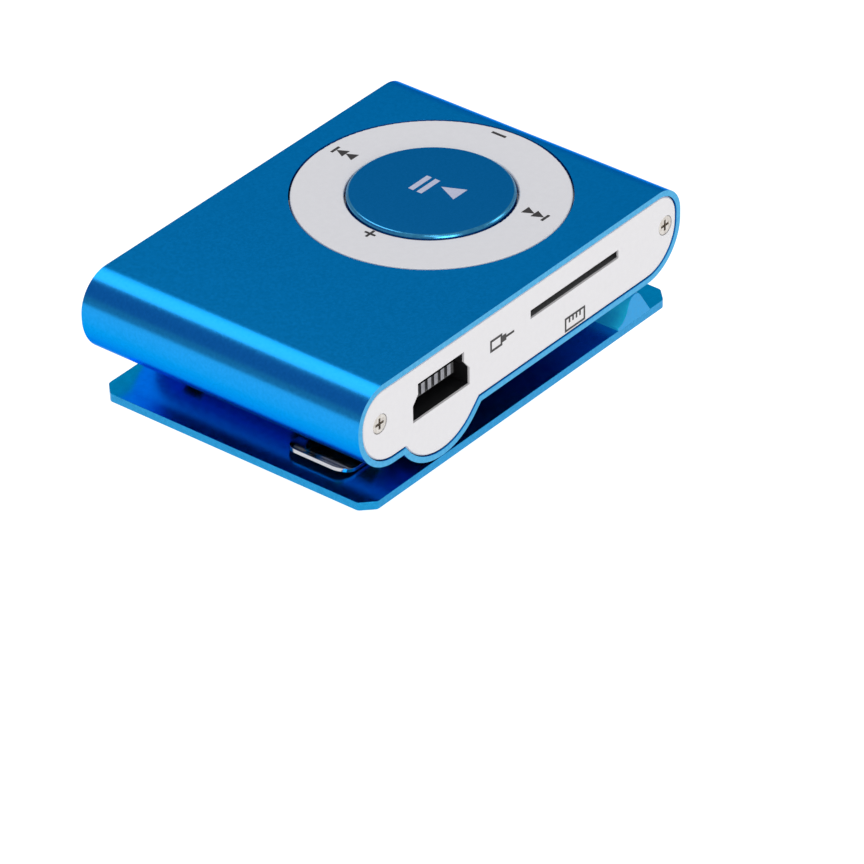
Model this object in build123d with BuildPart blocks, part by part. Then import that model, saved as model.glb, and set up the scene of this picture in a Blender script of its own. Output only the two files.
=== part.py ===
"""Clip-on digital audio player: extruded metal case, two moulded end caps, a
rocking control ring with a centre button, and a sprung clip plate underneath.

+X runs from the hinge end to the jaw end of the clip, -Y is the end cap with the
data port and the card slot, +Y is the end cap with the audio jack and the power
switch, and +Z points out of the control face. Z = 0 is the underside of the clip.
All sizes are millimetres.
"""

import os
from math import asin, cos, degrees, radians, sin

from build123d import *

os.makedirs("parts", exist_ok=True)

# Case
LENGTH = 40.74
WIDTH = 28.0
FACE_Z = 11.15
UNDERSIDE_Z = 3.4
WALL = 0.5
TOP_RADIUS = 2.8
TOP_LEFT_RADIUS = 3.1
BOTTOM_RADIUS = 4.35
END_CHAMFER = 0.06
HALF_X = LENGTH / 2
HALF_Y = WIDTH / 2

# Hinge boss, a ridge of the case section under the body, and the hinge pin
BOSS_X = -10.2
BOSS_Z = 6.6
BOSS_RADIUS = 5.7
PIN_X = -11.5
PIN_Z = 2.55
PIN_RADIUS = 0.55
PIN_END_Y = 13.5

# End caps and their screws
CAP_SUNK = 0.05
CAP_THICK = 1.15
CAP_FACE_Y = HALF_Y - CAP_SUNK
CAP_INNER_Y = CAP_FACE_Y - CAP_THICK
LIP = 0.2
SOCKET_FRONT_Y = -(CAP_FACE_Y - LIP - 0.05)
FIT = 0.05
SCREW_XS = (-17.7, 18.45)
SCREW_Z = 7.7
SCREW_HEAD_RADIUS = 0.8
SCREW_HEAD_TALL = 0.45
SCREW_HEAD_SUNK = 0.05
SCREW_SHANK_RADIUS = 0.48
SCREW_REACH = 4.2
SCREW_RECESS_DEEP = 0.3
SCREW_RECESS_ARMS = ((1.0, 0.24), (0.24, 1.0))
PORT_RADIUS = 1.05
PORT_WEB = 0.9
CAP_EDGE_CHAMFER = 0.12
RIB_XS = (-1.5, 14.2)
RIB_WIDE = 2.4
RIB_DEEP = 1.0
RIB_Z = (6.35, 6.57)

# Control ring and centre button
RING_X = 6.55
RING_Y = 0.4
RING_RADIUS = 11.27
RING_HOLE_RADIUS = 11.4
RING_INNER_RADIUS = 6.98
RING_RIM_RADIUS = 10.6
RING_PLATE_Z = 10.55
RING_RIM_Z = 9.85
RING_EDGE_RADIUS = 0.12
RING_TAB_RADIUS = 12.0
RING_TAB_WIDE = 4.0
RING_TAB_TOP_Z = 10.2
BUTTON_RADIUS = 6.82
BUTTON_EDGE = 0.18
BUTTON_TOP_Z = 11.45
BUTTON_JOIN_Z = 10.25
BUTTON_BASE_Z = 9.93
BUTTON_FLANGE_RADIUS = 7.75
BUTTON_FLANGE_TOP_Z = 10.2

# Boards
BOARD_BOTTOM_Z = 6.6
BOARD_TOP_Z = 7.4
BOARD_LEFT_X = -16.3
BOARD_RIGHT_X = 17.1
BOARD_HALF_Y = 12.7
KEYPAD_RADIUS = 10.5
KEYPAD_BOTTOM_Z = 9.35
KEYPAD_TOP_Z = 9.5
KEY_CIRCLE_RADIUS = 9.1
DOME_CIRCLE_RADIUS = 8.6
DOME_RADIUS = 1.8
DOME_TOP_RADIUS = 1.1
DOME_TALL = 0.15
KEY_PAD_Z = (10.05, 10.2)
KEY_PAD_RADIUS = 10.3
KEY_PAD_HOLE_RADIUS = 8.0
KEY_PLUNGER_RADIUS = 0.6
KEY_PLUNGER_Z = (9.85, 10.35)
POST_XS = (-2.4, 14.8)
POST_HALF_YS = (6.0, 4.0)
POST_RADIUS = 0.9
RIBBON_THICK = 0.12
RIBBON_HALF_Y = 1.5

# Data port: a five-contact receptacle, wide side down
DATA_PORT_X = -10.2
DATA_PORT_LOW_Z = 5.65
DATA_PORT_HIGH_Z = 8.95
DATA_PORT_WIDE = 7.0
DATA_PORT_NARROW = 5.7
DATA_PORT_STEP_Z = 7.2
DATA_PORT_STEP_TALL = 0.8
DATA_PORT_LINER = 0.25
DATA_PORT_SHEET = 0.3
DATA_PORT_BACK_Y = -5.2
DATA_PORT_HEEL = 1.4
DATA_TONGUE_Z = 7.6
DATA_TONGUE_WIDE = 4.6
DATA_TONGUE_TALL = 1.0
DATA_TONGUE_FRONT_Y = -13.3
CONTACT_PITCH = 0.8
CONTACT_WIDE = 0.42
CONTACT_THICK = 0.12
CONTACT_FACE_TALL = 0.85

# Card slot
CARD_X = 6.65
CARD_SLOT_WIDE = 11.3
CARD_SLOT_LOW_Z = 7.7
CARD_SLOT_HIGH_Z = 8.5
CARD_SOCKET_WIDE = 12.1
CARD_SOCKET_BACK_Y = 1.4
CARD_SHEET = 0.15
CARD_STOP_THICK = 1.0
CARD_CONTACT_PITCH = 1.1
CARD_CONTACT_WIDE = 0.5
CARD_CONTACT_Y = (-5.6, -1.0)
CARD_WINDOW_OFFSET = 3.6
CARD_WINDOW_WIDE = 1.4
CARD_WINDOW_Y = (-8.5, -4.5)

# Audio jack
JACK_X = -9.6
JACK_Z = 7.2
JACK_BORE_RADIUS = 1.8
JACK_BORE_DEEP = 12.5
JACK_BODY_WIDE = 6.0
JACK_BODY_TALL = 5.0
JACK_BODY_BACK_Y = 0.9
JACK_COLLAR_RADIUS = 2.6
JACK_COLLAR_EDGE = 0.15
JACK_POCKET_X = (2.3, 3.0)
JACK_POCKET_Y = (2.5, 9.5)
JACK_POCKET_HALF_Z = 0.6
JACK_STRIP_X = (2.4, 2.6)
JACK_STRIP_Y = (2.7, 9.3)
JACK_STRIP_HALF_Z = 0.5

# Power switch
SWITCH_X = 9.2
SWITCH_TRAVEL = 2.0
SWITCH_Z = 8.7
KNOB_WIDE = 2.0
KNOB_TALL = 1.0
KNOB_SUNK = 0.15
KNOB_DEEP = 1.1
KNOB_GROOVE_PITCH = 0.5
KNOB_GROOVE_WIDE = 0.2
KNOB_STEM_WIDE = 1.2
KNOB_STEM_TALL = 0.4
KNOB_STEM_DEEP = 1.4
CAN_HALF_X = 3.4
CAN_Y = (10.2, 12.6)
CAN_TOP_Z = 9.25
CAN_SLOT_DEEP = 1.4
CAN_SLOT_TALL = 0.6

# Clip plate
PLATE_THICK = 0.75
PLATE_LEFT_X = -19.22
PLATE_RIGHT_X = 19.4
PLATE_Y = (-13.9, 13.5)
PLATE_CORNER = 1.1
PLATE_CORNER_ROUND = 0.5
RIDGE_TOP_Z = 3.2
LUG_YS = (-2.4, 8.6)
LUG_THICK = 1.2
LUG_RADIUS = 1.2
TENON_WIDE = 1.6
TENON_THICK = 1.0
SPRING_Y = -6.85
SPRING_WIDE = 6.3
SPRING_THICK = 0.3
SPRING_CORNER = 1.3
SPRING_TIP_X = -17.35

# Small parts on the board, and the battery
PROCESSOR_X = (-12.6, -7.6)
PROCESSOR_Y = (-4.6, 0.4)
PROCESSOR_TALL = 0.9
MEMORY_X = (1.4, 9.4)
MEMORY_Y = (2.2, 8.4)
MEMORY_TALL = 0.8
CHIP_EDGE = 0.1
CRYSTAL_X = (-5.2, -2.0)
CRYSTAL_Y = (-11.4, -9.9)
CRYSTAL_TALL = 0.7
CRYSTAL_CORNER = 0.5
PASSIVE_SIZE = (1.0, 0.5, 0.5)
PASSIVE_CENTRE = (-14.9, -2.1)
PASSIVE_PITCH = (1.5, 1.4)
PASSIVE_ROWS = (2, 4)
BATTERY_X = (-3.4, 15.4)
BATTERY_Y = (-11.3, 11.3)
BATTERY_Z = (4.1, 6.4)
BATTERY_EDGE = 1.0
PAD_MARGIN_X = 2.0
PAD_HALF_Y = 9.0
TAB_THICK = 0.15
TAB_HALF_Y = 1.0
TAB_YS = (-2.5, 2.5)
TAB_LOW_Z = 5.2

# Status light
LIGHT_X = 1.6
LIGHT_Z = 8.6
LIGHT_RADIUS = 0.6
LIGHT_HALF_X = 0.5
LIGHT_Y = (11.6, 12.4)


def across(y):
    """Plane of the case section at height y; extruding from it runs toward -Y."""
    return Plane.XZ.offset(-y)


def case_section(inset, y):
    """Case outline with its hinge boss, moved inwards by inset, at y."""
    half_x = HALF_X - inset
    top_z = FACE_Z - inset
    low_z = UNDERSIDE_Z + inset
    right_radius = TOP_RADIUS - inset
    left_radius = TOP_LEFT_RADIUS - inset
    low_radius = BOTTOM_RADIUS - inset
    boss_radius = BOSS_RADIUS - inset
    foot_angle = degrees(asin((BOSS_Z - low_z) / boss_radius))
    diagonal = boss_radius * cos(radians(45))
    foot_left_x = BOSS_X - boss_radius * cos(radians(foot_angle))
    foot_right_x = BOSS_X + diagonal + (low_z - (BOSS_Z - diagonal))
    corner_low_z = low_z + low_radius
    with BuildSketch(across(y)) as section:
        with BuildLine():
            CenterArc((half_x - right_radius, top_z - right_radius), right_radius, 0, 90)
            Line((half_x - right_radius, top_z), (left_radius - half_x, top_z))
            CenterArc((left_radius - half_x, top_z - left_radius), left_radius, 90, 90)
            Line((-half_x, top_z - left_radius), (-half_x, corner_low_z))
            CenterArc((low_radius - half_x, corner_low_z), low_radius, 180, 90)
            Line((low_radius - half_x, low_z), (foot_left_x, low_z))
            CenterArc((BOSS_X, BOSS_Z), boss_radius, 180 + foot_angle, 135 - foot_angle)
            Line((BOSS_X + diagonal, BOSS_Z - diagonal), (foot_right_x, low_z))
            Line((foot_right_x, low_z), (half_x - low_radius, low_z))
            CenterArc((half_x - low_radius, corner_low_z), low_radius, 270, 90)
            Line((half_x, corner_low_z), (half_x, top_z - right_radius))
        make_face()
    return section.sketch


def data_port_section(y, grow):
    """Data port opening at y, made larger by grow on every side."""
    half_wide = DATA_PORT_WIDE / 2
    half_narrow = DATA_PORT_NARROW / 2
    with BuildSketch(across(y)) as section:
        with BuildLine():
            Polyline(
                (DATA_PORT_X - half_wide, DATA_PORT_LOW_Z),
                (DATA_PORT_X + half_wide, DATA_PORT_LOW_Z),
                (DATA_PORT_X + half_wide, DATA_PORT_STEP_Z),
                (DATA_PORT_X + half_narrow, DATA_PORT_STEP_Z + DATA_PORT_STEP_TALL),
                (DATA_PORT_X + half_narrow, DATA_PORT_HIGH_Z),
                (DATA_PORT_X - half_narrow, DATA_PORT_HIGH_Z),
                (DATA_PORT_X - half_narrow, DATA_PORT_STEP_Z + DATA_PORT_STEP_TALL),
                (DATA_PORT_X - half_wide, DATA_PORT_STEP_Z),
                close=True,
            )
        make_face()
        if grow > 0:
            offset(amount=grow)
    return section.sketch


def rectangle_section(y, x, z, wide, tall):
    """Rectangle of the case section centred on (x, z), at y."""
    with BuildSketch(across(y)) as section:
        with Locations((x, z)):
            Rectangle(wide, tall)
    return section.sketch


def circle_section(y, x, z, radius):
    """Circle of the case section centred on (x, z), at y."""
    with BuildSketch(across(y)) as section:
        with Locations((x, z)):
            Circle(radius)
    return section.sketch


def block(x_range, y_range, z_range, mode=Mode.ADD):
    """Box between two values on each axis, for use inside a part."""
    spans = (x_range, y_range, z_range)
    middle = tuple(sum(span) / 2 for span in spans)
    size = [span[1] - span[0] for span in spans]
    with Locations(middle):
        Box(*size, mode=mode)


def ring_disc(low_z, high_z, outer, inner=0.0, mode=Mode.ADD):
    """Disc or annulus about the control ring's centre line."""
    with Locations((RING_X, RING_Y, (low_z + high_z) / 2)):
        Cylinder(outer, high_z - low_z, mode=mode)
        if inner > 0:
            Cylinder(inner, high_z - low_z, mode=Mode.SUBTRACT)


def save(part, name):
    """Label one finished piece and write its STEP file."""
    part.part.label = name
    export_step(part.part, f"parts/{name}.step")


# ---------------------------------------------------------------- case shell
LUG_SLOT_THICK = LUG_THICK + 0.7
LUG_SLOT_X = (PIN_X - 2.4, PIN_X + 2.2)
SPRING_SLOT_WIDE = SPRING_WIDE + 0.5
SPRING_SLOT_X = (BOSS_X - BOSS_RADIUS, PIN_X + 0.6)
SPRING_SLOT_TOP_Z = 2.75

with BuildPart() as body_shell:
    extrude(case_section(0, HALF_Y), amount=WIDTH)
    extrude(case_section(WALL, HALF_Y), amount=WIDTH, mode=Mode.SUBTRACT)
    # Screw channels, cut back at both ends to make room for the caps
    for screw_x, side in zip(SCREW_XS, (-1, 1)):
        wall_x = side * (HALF_X - WALL / 2)
        web_wide = abs(wall_x - screw_x)
        web = rectangle_section(CAP_INNER_Y, (wall_x + screw_x) / 2, SCREW_Z, web_wide, PORT_WEB)
        extrude(web, amount=2 * CAP_INNER_Y)
        extrude(circle_section(CAP_INNER_Y, screw_x, SCREW_Z, PORT_RADIUS), amount=2 * CAP_INNER_Y)
        bore = circle_section(CAP_INNER_Y, screw_x, SCREW_Z, SCREW_SHANK_RADIUS + 0.02)
        extrude(bore, amount=2 * CAP_INNER_Y, mode=Mode.SUBTRACT)
    # Control opening in the face
    ring_disc(RING_PLATE_Z - 0.5, FACE_Z + 1, RING_HOLE_RADIUS, mode=Mode.SUBTRACT)
    # Broken edges at both ends of the section
    for end_face in (body_shell.faces().sort_by(Axis.Y)[0], body_shell.faces().sort_by(Axis.Y)[-1]):
        chamfer(end_face.edges(), END_CHAMFER)
    # Slots in the boss for the two hinge lugs and for the spring tongue
    for lug_y in LUG_YS:
        lug_slot = (lug_y - LUG_SLOT_THICK / 2, lug_y + LUG_SLOT_THICK / 2)
        block(LUG_SLOT_X, lug_slot, (0, UNDERSIDE_Z), mode=Mode.SUBTRACT)
    spring_slot = (SPRING_Y - SPRING_SLOT_WIDE / 2, SPRING_Y + SPRING_SLOT_WIDE / 2)
    block(SPRING_SLOT_X, spring_slot, (0, SPRING_SLOT_TOP_Z), mode=Mode.SUBTRACT)
save(body_shell, "body_shell")


# ---------------------------------------------------------------- end caps
def end_cap_blank(outer_y, inner_y):
    """Plug that fills the case section between two values of y, with its ribs."""
    high_y = max(outer_y, inner_y)
    side = 1 if outer_y > 0 else -1
    with BuildPart() as cap:
        extrude(case_section(WALL + FIT, high_y), amount=CAP_THICK)
        outer_edges = cap.faces().sort_by(Axis.Y)[-1 if side > 0 else 0].edges()
        chamfer(outer_edges, CAP_EDGE_CHAMFER)
        # Two ribs carry the edge of the main board
        rib_y = sorted((inner_y, inner_y - side * RIB_DEEP))
        for rib_x in RIB_XS:
            block((rib_x - RIB_WIDE / 2, rib_x + RIB_WIDE / 2), rib_y, RIB_Z)
        # Countersunk seats and clearance holes for the screws
        for screw_x in SCREW_XS:
            seat_deep = SCREW_HEAD_TALL + SCREW_HEAD_SUNK
            seat_y = outer_y if side > 0 else outer_y + seat_deep
            seat = circle_section(seat_y, screw_x, SCREW_Z, SCREW_HEAD_RADIUS + 0.06)
            extrude(seat, amount=seat_deep, mode=Mode.SUBTRACT)
            hole = circle_section(high_y, screw_x, SCREW_Z, SCREW_SHANK_RADIUS + 0.07)
            extrude(hole, amount=CAP_THICK, mode=Mode.SUBTRACT)
        # Blind socket that holds the end of the hinge pin
        pocket_y = PIN_END_Y + 0.05
        pocket_high_y = pocket_y if side > 0 else inner_y
        pocket = circle_section(pocket_high_y, PIN_X, PIN_Z, PIN_RADIUS + 0.02)
        extrude(pocket, amount=pocket_y - CAP_INNER_Y, mode=Mode.SUBTRACT)
    return cap.part


with BuildPart() as end_cap_front:
    add(end_cap_blank(-CAP_FACE_Y, -CAP_INNER_Y))
    # Both openings have a thin lip, with the sockets let into pockets behind it
    pocket_deep = CAP_THICK - LIP
    extrude(data_port_section(-CAP_INNER_Y, 0), amount=CAP_THICK, mode=Mode.SUBTRACT)
    port_margin = DATA_PORT_LINER + DATA_PORT_SHEET + 0.04
    extrude(data_port_section(-CAP_INNER_Y, port_margin), amount=pocket_deep, mode=Mode.SUBTRACT)
    slot_z = (CARD_SLOT_LOW_Z + CARD_SLOT_HIGH_Z) / 2
    slot_tall = CARD_SLOT_HIGH_Z - CARD_SLOT_LOW_Z
    slot = rectangle_section(-CAP_INNER_Y, CARD_X, slot_z, CARD_SLOT_WIDE, slot_tall)
    extrude(slot, amount=CAP_THICK, mode=Mode.SUBTRACT)
    socket_low_z = BOARD_TOP_Z - 0.04
    socket_high_z = CARD_SLOT_HIGH_Z + CARD_SHEET + 0.04
    socket_pocket = rectangle_section(
        -CAP_INNER_Y,
        CARD_X,
        (socket_low_z + socket_high_z) / 2,
        CARD_SOCKET_WIDE + 0.08,
        socket_high_z - socket_low_z,
    )
    extrude(socket_pocket, amount=pocket_deep, mode=Mode.SUBTRACT)
save(end_cap_front, "end_cap_front")

WINDOW_WIDE = KNOB_WIDE + SWITCH_TRAVEL + 0.2
WINDOW_TALL = KNOB_TALL + 0.2
WINDOW_X = SWITCH_X + SWITCH_TRAVEL / 2

with BuildPart() as end_cap_back:
    add(end_cap_blank(CAP_FACE_Y, CAP_INNER_Y))
    jack_hole = circle_section(CAP_FACE_Y, JACK_X, JACK_Z, JACK_COLLAR_RADIUS + FIT)
    extrude(jack_hole, amount=CAP_THICK, mode=Mode.SUBTRACT)
    window = rectangle_section(CAP_FACE_Y, WINDOW_X, SWITCH_Z, WINDOW_WIDE, WINDOW_TALL)
    extrude(window, amount=CAP_THICK, mode=Mode.SUBTRACT)
    light_hole = circle_section(CAP_FACE_Y, LIGHT_X, LIGHT_Z, LIGHT_RADIUS + 0.03)
    extrude(light_hole, amount=CAP_THICK, mode=Mode.SUBTRACT)
save(end_cap_back, "end_cap_back")

# Four identical cross-recess screws
with BuildPart() as cap_screws:
    for side in (-1, 1):
        head_outer_y = side * (CAP_FACE_Y - SCREW_HEAD_SUNK)
        head_inner_y = head_outer_y - side * SCREW_HEAD_TALL
        tip_y = head_inner_y - side * SCREW_REACH
        recess_y = head_outer_y - side * SCREW_RECESS_DEEP
        for screw_x in SCREW_XS:
            head = circle_section(max(head_outer_y, head_inner_y), screw_x, SCREW_Z, SCREW_HEAD_RADIUS)
            extrude(head, amount=SCREW_HEAD_TALL)
            shank = circle_section(max(head_inner_y, tip_y), screw_x, SCREW_Z, SCREW_SHANK_RADIUS)
            extrude(shank, amount=SCREW_REACH)
            for wide, tall in SCREW_RECESS_ARMS:
                cross = rectangle_section(max(head_outer_y, recess_y), screw_x, SCREW_Z, wide, tall)
                extrude(cross, amount=SCREW_RECESS_DEEP, mode=Mode.SUBTRACT)
save(cap_screws, "cap_screws")

with BuildPart() as hinge_pin:
    extrude(circle_section(PIN_END_Y, PIN_X, PIN_Z, PIN_RADIUS), amount=2 * PIN_END_Y)
    chamfer(hinge_pin.edges().filter_by(GeomType.CIRCLE), CAP_EDGE_CHAMFER)
save(hinge_pin, "hinge_pin")

# ---------------------------------------------------------------- main board
DATA_PORT_HALF = DATA_PORT_WIDE / 2 + DATA_PORT_LINER + DATA_PORT_SHEET
DATA_PORT_CUT = (DATA_PORT_X - DATA_PORT_HALF - 0.1, DATA_PORT_X + DATA_PORT_HALF + 0.1)
JACK_CUT = (JACK_X - JACK_BODY_WIDE / 2 - 0.1, JACK_X + JACK_BODY_WIDE / 2 + 0.1)

with BuildPart() as main_board:
    board_y = (-BOARD_HALF_Y, BOARD_HALF_Y)
    board_z = (BOARD_BOTTOM_Z, BOARD_TOP_Z)
    block((BOARD_LEFT_X, BOARD_RIGHT_X), board_y, board_z)
    fillet(main_board.edges().filter_by(Axis.Z), 0.8)
    block(DATA_PORT_CUT, (-BOARD_HALF_Y - 1, DATA_PORT_BACK_Y + 0.1), board_z, mode=Mode.SUBTRACT)
    block(JACK_CUT, (JACK_BODY_BACK_Y - 0.1, BOARD_HALF_Y + 1), board_z, mode=Mode.SUBTRACT)
save(main_board, "main_board")

with BuildPart() as processor_chip:
    block(PROCESSOR_X, PROCESSOR_Y, (BOARD_TOP_Z, BOARD_TOP_Z + PROCESSOR_TALL))
    chamfer(processor_chip.edges().group_by(Axis.Z)[-1], CHIP_EDGE)
save(processor_chip, "processor_chip")

with BuildPart() as memory_chip:
    block(MEMORY_X, MEMORY_Y, (BOARD_TOP_Z, BOARD_TOP_Z + MEMORY_TALL))
    chamfer(memory_chip.edges().group_by(Axis.Z)[-1], CHIP_EDGE)
save(memory_chip, "memory_chip")

with BuildPart() as clock_crystal:
    block(CRYSTAL_X, CRYSTAL_Y, (BOARD_TOP_Z, BOARD_TOP_Z + CRYSTAL_TALL))
    fillet(clock_crystal.edges().filter_by(Axis.Z), CRYSTAL_CORNER)
save(clock_crystal, "clock_crystal")

# Small resistors and capacitors, one grid of identical chips
with BuildPart() as passive_chips:
    with Locations((*PASSIVE_CENTRE, BOARD_TOP_Z + PASSIVE_SIZE[2] / 2)):
        with GridLocations(*PASSIVE_PITCH, *PASSIVE_ROWS):
            Box(*PASSIVE_SIZE)
save(passive_chips, "passive_chips")

# ---------------------------------------------------------------- data port
back_y = DATA_PORT_BACK_Y - DATA_PORT_SHEET
heel_y = back_y - DATA_PORT_HEEL

with BuildPart() as data_port_shell:
    shell_section = data_port_section(DATA_PORT_BACK_Y, DATA_PORT_LINER + DATA_PORT_SHEET)
    extrude(shell_section, amount=DATA_PORT_BACK_Y - SOCKET_FRONT_Y)
    inside = data_port_section(back_y, DATA_PORT_LINER)
    extrude(inside, amount=back_y - SOCKET_FRONT_Y, mode=Mode.SUBTRACT)
save(data_port_shell, "data_port_shell")

with BuildPart() as data_port_insulator:
    extrude(data_port_section(back_y, DATA_PORT_LINER), amount=back_y - SOCKET_FRONT_Y)
    extrude(data_port_section(heel_y, 0), amount=heel_y - SOCKET_FRONT_Y, mode=Mode.SUBTRACT)
    tongue = rectangle_section(heel_y, DATA_PORT_X, DATA_TONGUE_Z, DATA_TONGUE_WIDE, DATA_TONGUE_TALL)
    extrude(tongue, amount=heel_y - DATA_TONGUE_FRONT_Y)
save(data_port_insulator, "data_port_insulator")

with BuildPart() as data_port_contacts:
    tongue_top_z = DATA_TONGUE_Z + DATA_TONGUE_TALL / 2
    blade_y = (DATA_TONGUE_FRONT_Y - CONTACT_THICK, DATA_TONGUE_FRONT_Y)
    for index in range(5):
        middle_x = DATA_PORT_X + (index - 2) * CONTACT_PITCH
        contact_x = (middle_x - CONTACT_WIDE / 2, middle_x + CONTACT_WIDE / 2)
        strip_y = (DATA_TONGUE_FRONT_Y - CONTACT_THICK, heel_y)
        block(contact_x, strip_y, (tongue_top_z, tongue_top_z + CONTACT_THICK))
        block(contact_x, blade_y, (tongue_top_z - CONTACT_FACE_TALL, tongue_top_z))
save(data_port_contacts, "data_port_contacts")

# ---------------------------------------------------------------- card socket
CARD_Y = (SOCKET_FRONT_Y, CARD_SOCKET_BACK_Y)
CARD_SPAN = (CARD_X - CARD_SOCKET_WIDE / 2, CARD_X + CARD_SOCKET_WIDE / 2)
CARD_FLOOR_Z = CARD_SLOT_LOW_Z - 0.02

with BuildPart() as card_socket_base:
    block(CARD_SPAN, CARD_Y, (BOARD_TOP_Z, CARD_FLOOR_Z))
    card_stop_y = (CARD_SOCKET_BACK_Y - CARD_STOP_THICK, CARD_SOCKET_BACK_Y)
    block(CARD_SPAN, card_stop_y, (BOARD_TOP_Z, CARD_SLOT_HIGH_Z))
save(card_socket_base, "card_socket_base")

with BuildPart() as card_socket_cover:
    block(CARD_SPAN, CARD_Y, (CARD_SLOT_HIGH_Z, CARD_SLOT_HIGH_Z + CARD_SHEET))
    for edge_x, inner_x in ((CARD_SPAN[0], 1), (CARD_SPAN[1], -1)):
        side_x = sorted((edge_x, edge_x + inner_x * CARD_SHEET))
        side_y = (SOCKET_FRONT_Y, CARD_SOCKET_BACK_Y - CARD_STOP_THICK)
        block(side_x, side_y, (CARD_FLOOR_Z, CARD_SLOT_HIGH_Z))
    # Spring windows stamped in the cover
    for window_x in (CARD_X - CARD_WINDOW_OFFSET, CARD_X + CARD_WINDOW_OFFSET):
        window_span = (window_x - CARD_WINDOW_WIDE / 2, window_x + CARD_WINDOW_WIDE / 2)
        window_z = (CARD_SLOT_HIGH_Z, CARD_SLOT_HIGH_Z + CARD_SHEET)
        block(window_span, CARD_WINDOW_Y, window_z, mode=Mode.SUBTRACT)
save(card_socket_cover, "card_socket_cover")

with BuildPart() as card_socket_contacts:
    contact_z = (CARD_FLOOR_Z, CARD_FLOOR_Z + CONTACT_THICK)
    for index in range(8):
        contact_x = CARD_X + (index - 3.5) * CARD_CONTACT_PITCH
        contact_span = (contact_x - CARD_CONTACT_WIDE / 2, contact_x + CARD_CONTACT_WIDE / 2)
        block(contact_span, CARD_CONTACT_Y, contact_z)
save(card_socket_contacts, "card_socket_contacts")

# ---------------------------------------------------------------- audio jack
with BuildPart() as audio_jack_body:
    body = rectangle_section(CAP_INNER_Y, JACK_X, JACK_Z, JACK_BODY_WIDE, JACK_BODY_TALL)
    extrude(body, amount=CAP_INNER_Y - JACK_BODY_BACK_Y)
    fillet(audio_jack_body.edges().filter_by(Axis.Y), 0.5)
    bore_in_body = JACK_BORE_DEEP - (HALF_Y - CAP_INNER_Y)
    bore = circle_section(CAP_INNER_Y, JACK_X, JACK_Z, JACK_BORE_RADIUS)
    extrude(bore, amount=bore_in_body, mode=Mode.SUBTRACT)
    # Side pockets for the contact strips, outside the bore
    for side in (-1, 1):
        pocket_x = sorted(JACK_X + side * offset_x for offset_x in JACK_POCKET_X)
        pocket_z = (JACK_Z - JACK_POCKET_HALF_Z, JACK_Z + JACK_POCKET_HALF_Z)
        block(pocket_x, JACK_POCKET_Y, pocket_z, mode=Mode.SUBTRACT)
save(audio_jack_body, "audio_jack_body")

with BuildPart() as audio_jack_collar:
    extrude(circle_section(HALF_Y, JACK_X, JACK_Z, JACK_COLLAR_RADIUS), amount=HALF_Y - CAP_INNER_Y)
    chamfer(audio_jack_collar.faces().sort_by(Axis.Y)[-1].edges(), JACK_COLLAR_EDGE)
    collar_bore = circle_section(HALF_Y, JACK_X, JACK_Z, JACK_BORE_RADIUS)
    extrude(collar_bore, amount=HALF_Y - CAP_INNER_Y, mode=Mode.SUBTRACT)
save(audio_jack_collar, "audio_jack_collar")

with BuildPart() as audio_jack_contacts:
    for side in (-1, 1):
        strip_x = sorted(JACK_X + side * offset_x for offset_x in JACK_STRIP_X)
        block(strip_x, JACK_STRIP_Y, (JACK_Z - JACK_STRIP_HALF_Z, JACK_Z + JACK_STRIP_HALF_Z))
save(audio_jack_contacts, "audio_jack_contacts")

# ---------------------------------------------------------------- battery
with BuildPart() as battery_cell:
    block(BATTERY_X, BATTERY_Y, BATTERY_Z)
    fillet(battery_cell.edges().filter_by(Axis.Y), BATTERY_EDGE)
save(battery_cell, "battery_cell")

with BuildPart() as battery_pad:
    pad_x = (BATTERY_X[0] + PAD_MARGIN_X, BATTERY_X[1] - PAD_MARGIN_X)
    block(pad_x, (-PAD_HALF_Y, PAD_HALF_Y), (UNDERSIDE_Z + WALL, BATTERY_Z[0]))
save(battery_pad, "battery_pad")

with BuildPart() as battery_tabs:
    tab_x = (BATTERY_X[0] - TAB_THICK, BATTERY_X[0])
    for tab_y in TAB_YS:
        block(tab_x, (tab_y - TAB_HALF_Y, tab_y + TAB_HALF_Y), (TAB_LOW_Z, BOARD_BOTTOM_Z))
save(battery_tabs, "battery_tabs")

# ---------------------------------------------------------------- keypad
with BuildPart() as keypad_board:
    ring_disc(KEYPAD_BOTTOM_Z, KEYPAD_TOP_Z, KEYPAD_RADIUS)
save(keypad_board, "keypad_board")

with BuildPart() as keypad_posts:
    for post_x, post_half_y in zip(POST_XS, POST_HALF_YS):
        for post_y in (RING_Y - post_half_y, RING_Y + post_half_y):
            with Locations((post_x, post_y, (BOARD_TOP_Z + KEYPAD_BOTTOM_Z) / 2)):
                Cylinder(POST_RADIUS, KEYPAD_BOTTOM_Z - BOARD_TOP_Z)
save(keypad_posts, "keypad_posts")

with BuildPart() as keypad_ribbon:
    ribbon_x = RING_X - KEYPAD_RADIUS
    ribbon_y = (RING_Y - RIBBON_HALF_Y, RING_Y + RIBBON_HALF_Y)
    block((ribbon_x - RIBBON_THICK, ribbon_x), ribbon_y, (BOARD_TOP_Z, KEYPAD_TOP_Z))
save(keypad_ribbon, "keypad_ribbon")


def key_points(radius):
    """The four key positions at a distance from the ring's centre."""
    angles = [radians(quarter * 90) for quarter in range(4)]
    return [(RING_X + radius * cos(angle), RING_Y + radius * sin(angle)) for angle in angles]


with BuildPart() as keypad_domes:
    for dome_x, dome_y in key_points(DOME_CIRCLE_RADIUS) + [(RING_X, RING_Y)]:
        with Locations((dome_x, dome_y, KEYPAD_TOP_Z + DOME_TALL / 2)):
            Cone(DOME_RADIUS, DOME_TOP_RADIUS, DOME_TALL)
save(keypad_domes, "keypad_domes")

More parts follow.
